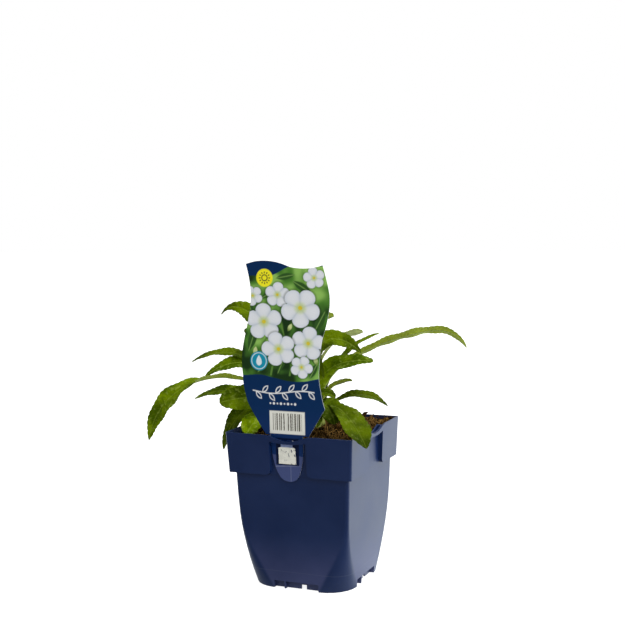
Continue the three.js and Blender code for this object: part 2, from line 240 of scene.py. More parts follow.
def uneven(tree, cloudScale, grainScale):
    # a mottle's cloud and grain at the scales that a material wants
    made = node(tree, "Group", node_tree=mottle)
    feed(made, {"CloudScale": cloudScale, "GrainScale": grainScale})
    return made.outputs["Cloud"], made.outputs["Grain"]


# Camera: the place and lens that fit the pot's corners in the photograph

camera = {
    "azimuth": 23.62, "elevation": 5.28, "roll": -1.17, "distance": 938.98,
    "aimRight": 0.313, "aimHeight": 215.76, "lens": 67.22,
}


def makeCamera():
    turn, rise, roll = (math.radians(camera[key]) for key in ("azimuth", "elevation", "roll"))
    back = Vector((math.sin(turn) * math.cos(rise), -math.cos(turn) * math.cos(rise), math.sin(rise)))
    level = Vector((math.cos(turn), math.sin(turn), 0))
    upright = back.cross(level)
    right = math.cos(roll) * level + math.sin(roll) * upright
    up = -math.sin(roll) * level + math.cos(roll) * upright
    eye = level * camera["aimRight"] + Vector((0, 0, camera["aimHeight"])) + back * camera["distance"]
    lens = bpy.data.cameras.new("camera")
    lens.lens = camera["lens"]
    lens.clip_start = 0.01
    viewer = newObject("camera", lens)
    turned = Matrix((right, up, back)).transposed().to_4x4()
    viewer.matrix_world = Matrix.Translation(eye * millimetre) @ turned
    bpy.context.scene.camera = viewer


# Studio: a pale floor, a bright backdrop light behind, a soft light above, and dim surroundings in front

studio = {
    "floorHalf": 6000, "floorColour": (0.5, 0.5, 0.5), "floorGlow": 0.9, "surround": 0.62, "mirrored": 0.1,
    "mirroredFloor": (0.06, 0.07, 0.08), "mirroredGlow": (0.87, 0.94, 1), "glowBehind": 1.6,
    "glowFrom": -0.08, "glowFull": 0.04, "aim": (0, 0, 0.1),
    "back": {"at": (0.5, 1.7, 0.75), "width": 2.6, "height": 1.5, "watts": 15},
    "above": {"at": (0.5, 0.15, 1.5), "width": 1.1, "height": 1.1, "watts": 17},
    "front": {"at": (1.9, -0.8, 1.0), "width": 1.0, "height": 1.0, "watts": 14},
}


def makeFloor():
    # pale to the camera, while the plastic mirrors a dark floor that glows behind the pot
    half = studio["floorHalf"] * millimetre
    corners = [(-half, -half, 0), (half, -half, 0), (half, half, 0), (-half, half, 0)]
    mesh = bpy.data.meshes.new("floor")
    mesh.from_pydata(corners, [], [(0, 1, 2, 3)])
    material, tree, shader = newMaterial("pale_floor")
    rays = node(tree, "LightPath").outputs
    mirrored = rays["Is Glossy Ray"]
    behind = band(tree, coordinates(tree)["Y"], studio["glowFrom"], studio["glowFull"])
    behind = scaled(tree, scaled(tree, behind, studio["glowBehind"]), mirrored)
    feed(shader, {
        "Base Color": blend(tree, mirrored, studio["floorColour"], studio["mirroredFloor"]),
        "Roughness": 0.9,
        "Specular IOR Level": 0.0,
        "Emission Color": blend(tree, mirrored, (1, 1, 1), studio["mirroredGlow"]),
        "Emission Strength": scaled(tree, rays["Is Camera Ray"], studio["floorGlow"], behind),
    })
    mesh.materials.append(material)
    floor = newObject("floor", mesh)


def makeLight(name):
    lamp = studio[name]
    light = bpy.data.lights.new(name + "_light", "AREA")
    light.shape = "RECTANGLE"
    light.size, light.size_y, light.energy = lamp["width"], lamp["height"], lamp["watts"]
    thing = newObject(light.name, light)
    thing.location = lamp["at"]
    ahead = Vector(studio["aim"]) - Vector(lamp["at"])
    thing.rotation_euler = ahead.to_track_quat("-Z", "Y").to_euler()
    thing.visible_camera = False


def makeSurround():
    # the camera sees plain white, the object is lit by a light grey and mirrors a dark one
    world = bpy.data.worlds.new("surround")
    world.use_nodes = True
    tree = world.node_tree
    rays = node(tree, "LightPath").outputs
    lit = scaled(tree, rays["Is Camera Ray"], 1 - studio["surround"], studio["surround"])
    darker = studio["mirrored"] - studio["surround"]
    strength = scaled(tree, rays["Is Glossy Ray"], darker, lit)
    feed(tree.nodes["Background"], {"Color": (1, 1, 1), "Strength": strength})
    bpy.context.scene.world = world
    bpy.context.scene.view_settings.view_transform = "Standard"


makeCamera()
makeFloor()
for lampName in ("back", "above", "front"):
    makeLight(lampName)
makeSurround()
print("camera and lights ready")


# Pot: the moulded shell, with its edges rounded as a mould leaves them

pot = {
    "edgeRound": 0.3, "edgeAngle": 28, "merge": 0.002, "seam": 14.2, "footLightTop": 50,
    "navy": [(0.0038, 0.0188, 0.087), (0.0065, 0.0248, 0.107)],
    "footLightColour": (0.11, 0.12, 0.27), "seamColour": (0.1, 0.12, 0.2),
}


def potMaterial():
    # satin navy plastic: faint cloudiness, fine grain, and painted light towards the foot on the flat of
    # each side
    material, tree, shader = newMaterial("navy_plastic")
    cloud, grain = uneven(tree, 22.0, 2600.0)
    colour = blend(tree, band(tree, cloud, 0.3, 0.75), *pot["navy"])
    place = coordinates(tree)
    edge = scaled(tree, place["Z"], 0.55, 0.02)
    reach = (maths(tree, "ABSOLUTE", place[axis]) for axis in ("X", "Y"))
    flat = band(tree, maths(tree, "SUBTRACT", edge, maths(tree, "MINIMUM", *reach)), -0.001, 0.003)
    # painted light: a lighter, bluer navy towards the foot on the flat of each side, standing in for light
    # from the floor
    low = band(tree, place["Z"], pot["footLightTop"] * millimetre, 0)
    footLight = scaled(tree, scaled(tree, low, flat), scaled(tree, cloud, 0.42, 0.17))
    colour = blend(tree, footLight, colour, pot["footLightColour"])
    aside = maths(tree, "ABSOLUTE", maths(tree, "SUBTRACT", place["Z"], pot["seam"] * millimetre))
    seam = scaled(tree, band(tree, aside, 0.00035, 0.0001), 0.3)
    feed(shader, {
        "Base Color": blend(tree, seam, colour, pot["seamColour"]),
        "Roughness": scaled(tree, cloud, 0.16, 0.3),
        "Specular IOR Level": 0.5,
        "Normal": bump(tree, grain, 0.25, 0.04),
    })
    return material


def makePot():
    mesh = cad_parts["pot"].data.copy()
    mesh.name = "pot_shell"
    mesh.materials.clear()
    mesh.materials.append(potMaterial())
    form = bmesh.new()
    form.from_mesh(mesh)
    bmesh.ops.remove_doubles(form, verts=form.verts, dist=pot["merge"] * millimetre)
    bmesh.ops.recalc_face_normals(form, faces=form.faces)
    form.to_mesh(mesh)
    form.free()
    mesh.shade_smooth()
    shell = placed("pot_shell", mesh, "pot_plastic", "pot")
    edges = shell.modifiers.new("rounded_edges", "BEVEL")
    edges.width = pot["edgeRound"] * millimetre
    edges.segments = 2
    edges.limit_method = "ANGLE"
    edges.angle_limit = math.radians(pot["edgeAngle"])
    flats = shell.modifiers.new("flat_faces_first", "WEIGHTED_NORMAL")
    flats.keep_sharp = False


makePot()
print("pot made")


# Rings that follow the pot's walls: a square with round corners, wide above and rounder towards the foot

potForm = {
    "height": 125, "rimHalf": 53.7, "bandFoot": 93, "bandFootHalf": 52.1, "bandCorner": 2,
    "bodyTopHalf": 48.4, "baseHalf": 42.2, "bulge": 1.35, "bodyCorner": 3.1, "baseCorner": 23,
    "cornerTop": 60, "cornerSwell": 1.75, "pocketBack": 47.8, "pocketHalf": 16.7, "sideFlat": 0.86,
}


def potHalf(z):
    # half the pot's width: a slow curve up the body, then a band that leans out a little
    body = 1 - np.clip(1 - z / potForm["bandFoot"], 0, 1) ** potForm["bulge"]
    lean = (z - potForm["bandFoot"]) / (potForm["height"] - potForm["bandFoot"])
    inBody = between(potForm["baseHalf"], potForm["bodyTopHalf"], body)
    inBand = between(potForm["bandFootHalf"], potForm["rimHalf"], lean)
    return np.where(z > potForm["bandFoot"], inBand, inBody)


def potCorner(z):
    # the corners' radius: it swells towards the foot as a power of the drop below a height
    drop = np.clip(1 - z / potForm["cornerTop"], 0, 1) ** potForm["cornerSwell"]
    body = between(potForm["bodyCorner"], potForm["baseCorner"], drop)
    return np.where(z > potForm["bandFoot"], potForm["bandCorner"], body)


def squareRing(half, corner, along):
    # points round a square with quarter-circle corners; along runs from 0 to 4, a side at each whole number
    side = np.floor(along)
    f = (along - side) * 2 - 1
    straight = half - corner
    flat = potForm["sideFlat"]
    bend = np.clip((np.abs(f) - flat) / (1 - flat), 0, 1) * np.pi / 4
    a = np.sign(f) * (straight * np.minimum(np.abs(f) / flat, 1) + corner * np.sin(bend))
    b = straight + corner * np.cos(bend)
    turn = side * np.pi / 2
    return a * np.cos(turn) + b * np.sin(turn), a * np.sin(turn) - b * np.cos(turn)


# Soil: a lumpy mound of dark crumbs with dry fibres, filling the pot

soil = {
    "edge": 119, "mound": 2.4, "rise": 3.6, "corner": 48, "inset": 1.5, "low": 7.8, "around": 480,
    "rings": 110, "seed": 11, "crumbs": 900, "fibres": 1000, "reach": 50.2, "crumbSize": (0.35, 1.25),
    "fibreLength": (5, 16), "fibreThick": (0.13, 0.3), "peakDryness": 0.26,
    "moist": [(0.001, 0.0005, 0.0001), (0.0095, 0.0044, 0.0004)], "fleck": (0.065, 0.032, 0.007),
    "dry": [(0.12, 0.056, 0.012), (0.46, 0.27, 0.08)],
    "stalks": [
        ((18.5, -15.5, 119), (14, -15.5, 136.5), 1.2, 0.42, 1.0),
        ((21.5, 46.5, 122), (27, 47.5, 128), 0, 3.4, 0.3),
        ((28, 47, 122), (33.5, 47, 127.2), 1.5, 0.6, 0.6),
    ],
}


def soilLevel(x, y):
    # a low mound with three sizes of lumps, as sums of sines
    away = np.minimum(1, np.hypot(x, y) / potForm["rimHalf"])
    lumps = 0.55 * np.sin(x / 3.1 + 1) * np.sin(y / 2.7) + 0.45 * np.sin(x / 5.3 - y / 4.1)
    rise = soil["rise"] * (np.maximum(0, x + y) / (2 * soil["corner"])) ** 2
    return soil["edge"] + soil["mound"] * (1 - away ** 2) + rise + lumps + 0.3 * np.sin(x / 1.7 + y / 2.2)


def soilTop(x, y):
    # the mound with crumbs raised on it by noise of three scales
    seed = soil["seed"]
    coarse = noise(x / 2.6 + 40, y / 2.6 + 40, seed) - 0.5
    middle = noise(x / 1.2 + 40, y / 1.2 + 40, seed + 1) - 0.5
    fine = noise(x / 0.6 + 90, y / 0.6 + 90, seed + 2) - 0.5
    return soilLevel(x, y) + 3.6 * coarse + 1.9 * middle + 0.6 * fine


def soilMaterial():
    # dark moist brown with small flecks, turning to tan where a crumb or a fibre is dry
    material, tree, shader = newMaterial("potting_soil")
    cloud, grain = uneven(tree, 170.0, 1500.0)
    spread = band(tree, cloud, 0.35, 0.7)
    fleck = scaled(tree, band(tree, grain, 0.59, 0.72), 0.5)
    dark = blend(tree, fleck, blend(tree, spread, *soil["moist"]), soil["fleck"])
    tan = blend(tree, spread, *soil["dry"])
    feed(shader, {
        "Base Color": blend(tree, attribute(tree, "dryness"), dark, tan),
        "Roughness": 0.85,
        "Specular IOR Level": 0.02,
        "Normal": bump(tree, grain, 0.8, 0.3),
    })
    return material


def makeSoil(material):
    # the sides follow the pot's inner wall, and the top closes in rings to the middle
    around = np.linspace(0, 4, soil["around"], endpoint=False)[None, :]
    inBody = np.linspace(soil["low"], potForm["bandFoot"] - 0.4, 18)
    inBand = np.linspace(potForm["bandFoot"] + 2, soil["edge"] - 2, 8)
    heights = np.concatenate([inBody, inBand])[:, None]
    half = potHalf(heights) - soil["inset"]
    corner = np.maximum(potCorner(heights) - soil["inset"], 1)
    x, y = behindPockets(*squareRing(half, corner, around))
    walls = np.stack([x, y, heights + 0 * x], -1)
    topHalf = potHalf(soil["edge"]) - soil["inset"]
    edgeX, edgeY = behindPockets(*squareRing(topHalf, potForm["bandCorner"] - soil["inset"], around))
    share = np.linspace(1, 0.004, soil["rings"])[:, None]
    x, y = edgeX * share, edgeY * share
    top = np.stack([x, y, soilTop(x, y)], -1)
    peaks = soil["peakDryness"] * smoothStep(0.1, 2.2, soilTop(x, y) - soilLevel(x, y))
    dryness = np.concatenate([np.zeros(walls.shape[:2]), peaks])
    shape = Shape()
    shape.addTube(np.concatenate([walls, top]), dryness=dryness)
    shape.piece("soil_mound", material, "soil", "soil")


def behindPockets(x, y):
    # keeps the soil behind the four pockets in the rim
    back, side = potForm["pocketBack"] - 0.4, potForm["pocketHalf"] + 0.3
    return [np.where(np.abs(b) < side, np.clip(a, -back, back), a) for a, b in ((x, y), (y, x))]


def scattered(chance, count):
    # places on the soil, clear of the pot's wall
    x, y = (chance.uniform(-soil["reach"], soil["reach"], count) for _ in range(2))
    nearer, farther = np.sort(np.abs([x, y]), axis=0)
    clear = (nearer > potForm["pocketHalf"] + 2) | (farther < potForm["pocketBack"] - 1.5)
    return x[clear], y[clear]


def makeCrumbs(material):
    # small angular grains: each a tube of three rings of six points, pushed about at random
    chance = np.random.default_rng(soil["seed"] + 5)
    x, y = (side[:, None, None] for side in scattered(chance, soil["crumbs"]))
    size = chance.uniform(*soil["crumbSize"], x.shape) * chance.uniform(0.6, 1, x.shape)
    turn = circle(6) + chance.uniform(0, 6, x.shape)
    level = np.array([-0.8, -0.1, 0.75])[:, None]
    wide = np.array([0.55, 1.0, 0.5])[:, None] * chance.uniform(0.65, 1.3, (len(x), 3, 6))
    stretch = chance.uniform(0.7, 1.6, x.shape)
    px = x + size * wide * np.cos(turn) * stretch
    py = y + size * wide * np.sin(turn)
    pz = soilTop(x, y) + 0.15 * size + size * (level + chance.uniform(-0.2, 0.2, wide.shape))
    shape = Shape()
    for rings, dry in zip(np.stack([px, py, pz], -1), chance.random(len(x)) ** 4 * 0.5):
        shape.addTube(rings, dryness=dry)
    crumbs = shape.piece("soil_crumbs", material, "soil")
    crumbs.data.shade_flat()


def makeFibres(material):
    # dry roots and strands: thin tapering tubes that wander over the soil, curling up at their ends
    chance = np.random.default_rng(soil["seed"] + 9)
    steps = np.linspace(0, 1, 16)
    turn = circle(4)[:, None]
    limit = potForm["pocketBack"] - 1
    shape = Shape()
    for x, y in zip(*scattered(chance, soil["fibres"])):
        far = np.clip((x + y) / 90, 0, 1)
        bold = chance.random() < 0.08 + 0.2 * far
        length = chance.uniform(*soil["fibreLength"]) + 9 * far * chance.random()
        heading = chance.uniform(0, 2 * np.pi) + chance.uniform(-1.8, 1.8) * steps
        way = np.cumsum([np.cos(heading), np.sin(heading)], 1) * length / len(steps)
        px, py = np.clip(way + [[x], [y]], -limit, limit)
        lift = chance.random() ** 2 * (1.8 + 2 * far)
        lift = lift * np.sin(np.pi * steps * chance.uniform(0.5, 1.1)) ** 2
        lift = lift + 1.2 * bold * np.sin(np.pi * steps)
        centre = np.stack([px, py, soilTop(px, py) + 0.25 + lift], -1)[:, None, :]
        thin = (chance.uniform(*soil["fibreThick"]) + 0.05 * bold) * (1 - 0.5 * steps)
        side = np.stack([-np.sin(heading), np.cos(heading), 0 * steps], -1)[:, None, :]
        ring = np.cos(turn) * side + np.sin(turn) * np.array([0, 0, 1.0])
        dry = chance.uniform(0.12, 0.8) * (1 - bold) + 1.3 * bold
        shape.addTube(centre + thin[:, None, None] * ring, dryness=dry)
    for stalk in soil["stalks"]:
        addStalk(shape, *stalk)
    shape.piece("soil_fibres", material, "soil")


def addStalk(shape, foot, tip, bow, thick, dry):
    # a dry stalk leaning up out of the soil: a tapering tube whose foot and tip are joined by a bowed line
    s = np.linspace(0, 1, 24)[:, None]
    x, y, z = (between(low, high, s) for low, high in zip(foot, tip))
    x = x + bow * np.sin(np.pi * s)
    radius = thick * (1 - 0.5 * s) * (1 + 0.15 * np.sin(23 * s))
    shape.addTube(levelRings((x, y), radius, z, circle(8)), dryness=dry)


soilBrown = soilMaterial()
makeSoil(soilBrown)
makeCrumbs(soilBrown)
makeFibres(soilBrown)
print("soil made")


# Label: a flat printed card with waved edges, whose tongue stands in the front pocket

card = {
    "front": -49.9, "back": -49.3, "foot": 88.45, "shoulder": 124.8, "waveFrom": 170, "topFrom": 244.0,
    "waveMiddle": -34.3, "waveReach": 4.6, "waveStart": 207, "waveLength": 108,
    "footRows": 84, "bodyRows": 285, "crestRows": 37, "columns": 172, "sharp": 40,
    "slope": [(-19.4, 124.8), (-27.2, 136.7), (-34.2, 149), (-36.1, 155.3), (-37.6, 161.5), (-38.3, 166)],
    "tongueLeft": [(-15, 126), (-15, 121), (-15, 115), (-13.8, 106.8), (-11.2, 97.9), (-7.4, 91.5),
                   (-3.4, 89), (0.6, 88.4)],
    "tongueRight": [(12, 126), (12, 121), (11.7, 109), (10.1, 99.4), (7.6, 92.7), (4.4, 89.5), (0.6, 88.4)],
    "right": [(16.8, 124.8), (30.7, 146.8), (29.2, 151.6), (27.7, 159), (26.2, 170.1), (26.9, 181.7),
              (28.1, 192.1), (29.8, 200.7), (33, 210.4), (35.6, 221.3), (36.4, 229.3), (36, 236.4),
              (33.8, 246.6), (31, 257)],
    "top": [(-33.4, 257.6), (-25.5, 259.6), (-17.4, 260.1), (-9.1, 259.3), (-2, 257.5), (4.5, 255.2),
            (12.2, 254.2), (19.9, 254.3), (26.4, 255.3), (31.1, 256.6)],
}
tab = {
    "hinge": 102.4, "middle": -1.4, "lean": 0.065, "thick": 0.6, "clear": 0.5, "rows": 72, "columns": 61,
    "sharp": 35, "rises": [0, 12.6, 13.6, 16.6, 18.6, 19.2], "halves": [7.3, 7.1, 4.9, 4.9, 6.9, 4.4],
}


def runThrough(points, wanted, axis):
    # reads one coordinate of a smooth run of points at wanted values of the other
    pairs = np.array(points, float)
    t = np.linspace(0, 1, 400)
    known = mix(pairs[:, axis], t)
    other = mix(pairs[:, 1 - axis], t)
    order = np.argsort(known)
    return np.interp(wanted, known[order], other[order])


def cardLeft(z):
    # a tongue, a slope, and a sine above them
    swing = np.sin(2 * np.pi * (z - card["waveStart"]) / card["waveLength"])
    slope = runThrough(card["slope"], z, 1)
    tongue = runThrough(card["tongueLeft"], z, 1)
    lower = np.where(z >= card["shoulder"], slope, tongue)
    return np.where(z > card["waveFrom"], card["waveMiddle"] + card["waveReach"] * swing, lower)


def cardRight(z):
    # a tongue, a straight slope, and a smooth run of points above them
    (footX, footZ), (bendX, bendZ) = card["right"][:2]
    upper = runThrough(card["right"][1:], z, 1)
    slope = np.interp(z, [footZ, bendZ], [footX, bendX])
    tongue = runThrough(card["tongueRight"], z, 1)
    return np.where(z > bendZ, upper, np.where(z >= card["shoulder"], slope, tongue))


def linear(red, green, blue):
    # screen colours from 0 to 255 as amounts of light
    value = np.array([red, green, blue]) / 255
    return np.where(value < 0.04045, value / 12.92, ((value + 0.055) / 1.055) ** 2.4)


def paint(under, mask, colour):
    # lays a colour over another through a mask
    return between(under, colour, np.clip(mask, 0, 1)[..., None])


def layered(colour, *layers):
    # paints one screen colour after another, each through its mask
    for mask, tint in layers:
        colour = paint(colour, mask, linear(*tint))
    return colour


def inked(x, *tint):
    # one screen colour at every point
    return np.broadcast_to(linear(*tint), (*x.shape, 3))


def inside(distance, soft=0.22):
    # 1 where a signed distance is positive, with a soft edge
    return smoothStep(-soft, soft, distance)


def box(x, z, left, right, low, high):
    # signed distance to the nearest side of an upright box
    return np.minimum(np.minimum(x - left, right - x), np.minimum(z - low, high - z))


def leafForm(x, z, middle, length, width, turn):
    # signed distance, roughly, to a leaf shape between two arcs
    angle = math.radians(turn)
    along = ((x - middle[0]) * math.cos(angle) + (z - middle[1]) * math.sin(angle)) / (length / 2)
    aside = -(x - middle[0]) * math.sin(angle) + (z - middle[1]) * math.cos(angle)
    return width / 2 * (1 - along ** 2) - np.abs(aside), along, aside


def stroke(x, z, points, width):
    # signed distance to a line drawn through points
    best = np.full(x.shape, 1e9)
    for (ax, az), (bx, bz) in zip(points[:-1], points[1:]):
        span = (bx - ax) ** 2 + (bz - az) ** 2
        t = np.clip(((x - ax) * (bx - ax) + (z - az) * (bz - az)) / span, 0, 1)
        best = np.minimum(best, np.hypot(x - ax - t * (bx - ax), z - az - t * (bz - az)))
    return width / 2 - best


picture = {
    "stems": [[(-26, 176), (-20, 196), (-8, 214), (4, 236)], [(2, 172), (6, 190), (16, 206), (24, 232)],
              [(-14, 172), (-10, 190), (-22, 214), (-24, 232)],
              [(20, 172), (14, 184), (-2, 200), (-6, 222)]],
    "leaves": [((-29, 200), 22, 7, 70), ((22, 190), 20, 6, 100), ((-4, 182), 20, 5, 65),
               ((28, 214), 18, 7, 60), ((-12, 236), 20, 6, 30), ((8, 176), 14, 5, 130),
               ((-30, 222), 18, 6, 110), ((14, 240), 18, 6, 150), ((-20, 178), 14, 4, 40),
               ((0, 248), 16, 5, 10), ((22, 176), 14, 5, 60), ((-6, 205), 16, 5, 120)],
    "blossoms": [((-7, 234), 10.5, 0.2), ((24, 247), 9, 0.5), ((-19, 213), 15.5, 0.35),
                 ((12, 224), 16.5, 0.95), ((18, 197), 14, 0.15), ((-7, 192), 14.5, 0.6),
                 ((12, 178.5), 9.5, 1.1), ((-28, 233), 8.5, 0.8)],
    "buds": [((-27, 190), 7, 3.6, 80), ((24, 184), 7, 3.4, 110), ((3, 209), 6.5, 3.2, 60),
             ((-26, 236), 6, 3, 100)],
    "panelLine": [170.7, 171.6, 169.4, 167.2, 167.6, 170.1], "navy": (0, 45, 92),
    "cap": 248.6, "capRise": 7.2, "sun": (-17.6, 246.9), "drop": (-24, 182.3), "sprig": 158.6,
    "dots": 149.5, "panel": (-16, 13.9, 125.9, 143.7), "stripes": (-13.2, 11.2, 128.6, 142),
}


def blossom(colour, x, z, middle, size, turn):
    # a round-petalled flower: the petal edge is a constant plus the size of the cosine of 5/2 of the angle
    dx, dz = x - middle[0], (z - middle[1]) / 0.92
    angle = np.arctan2(dz, dx) - turn
    petal = np.abs(np.cos(2.5 * angle))
    r = np.hypot(dx, dz) / size
    edge = 0.66 + 0.34 * petal ** 0.55
    shaded = layered(colour, (0.45 * inside((edge + 0.09 - r) * size, 1.2), (24, 48, 22)))
    white = layered(
        inked(x, 238, 241, 246),
        (0.55 * (1 - petal) ** 2.2 * (r < edge), (176, 190, 206)),
        (0.16 * np.abs(np.sin(20 * angle)) * smoothStep(0.9, 0.25, r), (190, 205, 196)),
        (0.35 * smoothStep(0.75, 1.0, r / edge), (205, 214, 228)),
        (0.85 * smoothStep(0.42, 0.1, r), (196, 214, 128)),
        (inside((0.11 - r) * size), (222, 204, 60)),
    )
    return paint(shaded, inside((edge - r) * size), white)


def drawPicture(x, z):
    # a soft garden background, then stems, leaves, buds and blossoms
    blur = noise(x / 13 + 9, z / 13, 21) * 0.65 + noise(x / 5 + 3, z / 6, 22) * 0.35
    light = np.clip(blur + 0.25 * smoothStep(200, 250, z) - 0.12, 0, 1)
    colour = layered(
        inked(x, 30, 60, 24),
        (smoothStep(0.2, 0.52, light), (80, 136, 46)),
        (smoothStep(0.45, 0.8, light), (150, 200, 96)),
        *((inside(stroke(x, z, points, 1.5), 0.4), (96, 140, 58)) for points in picture["stems"]),
    )
    for leaf in picture["leaves"]:
        form, _, aside = leafForm(x, z, *leaf)
        rib = inside(form, 0.5) * inside(0.35 - np.abs(aside), 0.3)
        colour = layered(colour, (inside(form, 0.5), (52, 92, 36)), (rib, (120, 160, 80)))
    for bud in picture["buds"]:
        form, along, _ = leafForm(x, z, *bud)
        dark = inside(form) * smoothStep(0.1, -0.9, along)
        colour = layered(colour, (inside(form), (206, 220, 150)), (dark, (120, 150, 60)))
    for flower in picture["blossoms"]:
        colour = blossom(colour, x, z, *flower)
    return colour


def drawCard(x, z):
    # the printed front: picture, navy cap and panel, round marks, white sprig, striped panel and bare foot
    capLine = picture["cap"] + picture["capRise"] * smoothStep(-14, 6, x)
    colour = layered(drawPicture(x, z), (inside(z - capLine), picture["navy"]))
    navy = layered(inked(x, *picture["navy"]), (smoothStep(150, 125, z) * 0.8, (14, 48, 104)))
    colour = paint(colour, inside(mix(picture["panelLine"], (x + 36) / 63) - z), navy)
    for draw in (drawMarks, drawSprig, drawStripes, drawFoot):
        colour = draw(colour, x, z)
    return colour


def drawMarks(colour, x, z):
    # a sun on a yellow disc, and a drop on a teal disc
    sunX, sunZ = x - picture["sun"][0], z - picture["sun"][1]
    sun = np.hypot(sunX, sunZ)
    rays = smoothStep(0.75, 0.92, np.abs(np.cos(6 * np.arctan2(sunZ, sunX))))
    dropX, dropZ = x - picture["drop"][0], z - picture["drop"][1]
    disc = np.hypot(dropX, dropZ)
    rise = np.clip((dropZ + 3.5) / 8, 0, 1)
    drop = 2.9 * np.sqrt(rise) * (1 - rise) * 2.1 - np.abs(dropX)
    return layered(
        colour,
        (inside(7 - sun), (255, 246, 36)),
        (inside(0.38 - np.abs(sun - 2.3)), (40, 44, 40)),
        (inside(0.7 - np.abs(sun - 4.1)) * rays, (40, 44, 40)),
        (inside(7.5 - disc), (20, 150, 180)),
        (inside(0.3 - np.abs(disc - 6.3)), (225, 240, 244)),
        (inside(drop) * (rise > 0) * (rise < 1), (232, 243, 246)),
    )


def sprigLine(x):
    # the sprig's stalk: a low sine
    return picture["sprig"] + 1.3 * np.sin(x / 8.5)


def drawSprig(colour, x, z):
    # a white line drawing of a leafy sprig along a sine, with a row of dots beneath it
    masks = [inside(0.42 - np.abs(z - sprigLine(x))) * inside(x + 30) * inside(22.5 - x)]
    for k in range(9):
        up = 1 if k % 2 else -1
        foot = 5.6 * k - 24.8
        form, _, _ = leafForm(x, z, (foot, sprigLine(foot) + up * 2.9), 7.4, 3.4, up * 48)
        masks.append(inside(0.42 - np.abs(form - 0.3)))
    for k in range(8):
        dot = np.hypot(x + 15 - 3 * k, z - picture["dots"])
        masks.append(inside((1.0 if k % 2 else 0.7) - dot))
    return layered(colour, *((mask, (238, 240, 240)) for mask in masks))


def drawStripes(colour, x, z):
    # a white panel with plain grey stripes, where a sum of three cosines is high
    beat = np.cos(x * 3.3) + 0.7 * np.cos(x * 2.03 + 1) + 0.4 * np.cos(x * 5.1)
    stripes = inside(box(x, z, *picture["stripes"])) * smoothStep(-0.1, 0.2, beat) * 0.95
    return layered(colour, (inside(box(x, z, *picture["panel"])), (236, 236, 226)), (stripes, (78, 74, 62)))


def drawFoot(colour, x, z):
    # the unprinted foot of the tongue, and the cut round the tab, with painted shade in the opening behind
    # the tab
    aside = np.abs(x - tab["middle"])
    slit = inside(0.3 - np.abs(z - 100.9 - 0.08 * x)) * (aside < 10.4)
    # painted shade: the opening behind the tab is painted a darkened navy, as the shadow seen through the
    # hole
    shadedOpening = inside(9.8 - aside, 0.4) * inside(z - tab["hinge"] + 1) * inside(122.6 - z)
    return layered(
        colour,
        (inside(109 + 0.4 * np.sin(x / 3) - z), (70, 82, 128)),
        (0.4 * inside(0.22 - np.abs(x - 1.2)) * inside(100.5 - z), (150, 158, 186)),
        (0.5 * slit, (150, 158, 186)),
        (shadedOpening, (6, 24, 62)),
    )


inkNames = ("printRed", "printGreen", "printBlue")


def inks(colours):
    # the three amounts of light as the values that the card's material reads
    return dict(zip(inkNames, np.moveaxis(colours, -1, 0)))


def labelMaterial():
    # smooth coated card whose print is held at its points
    material, tree, shader = newMaterial("printed_card")
    mixed = node(tree, "CombineColor")
    feed(mixed, {k: attribute(tree, name) for k, name in enumerate(inkNames)})
    cloud, grain = uneven(tree, 25.0, 1800.0)
    feed(shader, {
        "Base Color": mixed.outputs["Color"],
        "Roughness": scaled(tree, cloud, 0.12, 0.34),
        "Specular IOR Level": 0.16,
        "Normal": bump(tree, grain, 0.15, 0.03),
    })
    return material


def cardGrid():
    # rows between the waved side edges, and above them rows that bend to the top edge
    low = np.linspace(card["foot"] + 0.03, card["shoulder"] - 0.05, card["footRows"])
    high = np.linspace(card["shoulder"], card["topFrom"], card["bodyRows"])
    crest = np.linspace(0, 1, card["crestRows"] + 1)[1:, None]
    f = np.linspace(0, 1, card["columns"])[None, :]
    z = np.concatenate([low, high])[:, None]
    x = between(cardLeft(z), cardRight(z), f)
    start = card["topFrom"]
    left = cardLeft(between(start, card["top"][0][1], crest))
    right = cardRight(between(start, card["top"][-1][1], crest))
    crestX = between(left, right, f)
    crestZ = between(start, runThrough(card["top"], crestX, 0), crest)
    return np.concatenate([x, crestX]), np.concatenate([z + 0 * f, crestZ])


def makeLabel(material):
    # the printed grid, closed by a flat back that keeps every point of the crest's rows
    # and only the two ends of the rows beneath
    x, z = cardGrid()
    rows, columns = x.shape
    under = rows - card["crestRows"]
    front, behind = (np.stack([x, card[y] + 0 * x, z], -1).reshape(-1, 3) for y in ("front", "back"))
    number = np.arange(rows * columns).reshape(rows, columns)
    kept = np.concatenate([number[0], number[1:under, [0, -1]].ravel(), number[under:].ravel()])
    place = np.full(rows * columns, -1)
    place[kept] = rows * columns + np.arange(len(kept))
    edge = np.concatenate([number[0], number[1:, -1], number[-1, -2::-1], number[-2:0:-1, 0]])
    turned = np.roll(edge, -1)
    walls = np.stack([turned, edge, place[edge], place[turned]], -1)
    place = place.reshape(rows, columns)
    left, right = place[1:under, 0], place[1:under, -1]
    strips = np.stack([right[:-1], left[:-1], left[1:], right[1:]], -1)
    crestFaces = place[under:].ravel()[gridFaces(card["crestRows"], columns)[:, ::-1]]
    footCap = [*place[0], right[0], left[0]][::-1]
    middleCap = [left[-1], right[-1], *place[under][::-1]][::-1]
    faces = np.concatenate([gridFaces(rows, columns), walls, strips, crestFaces])
    colours = np.concatenate([drawCard(x, z).reshape(-1, 3), inked(kept, 214, 217, 220)])
    shape = Shape()
    shape.add(np.concatenate([front, behind[kept]]), faces, [footCap, middleCap], **inks(colours))
    label = shape.piece("plant_label", material, "label_card", "label")
    label.data.set_sharp_from_angle(angle=math.radians(card["sharp"]))


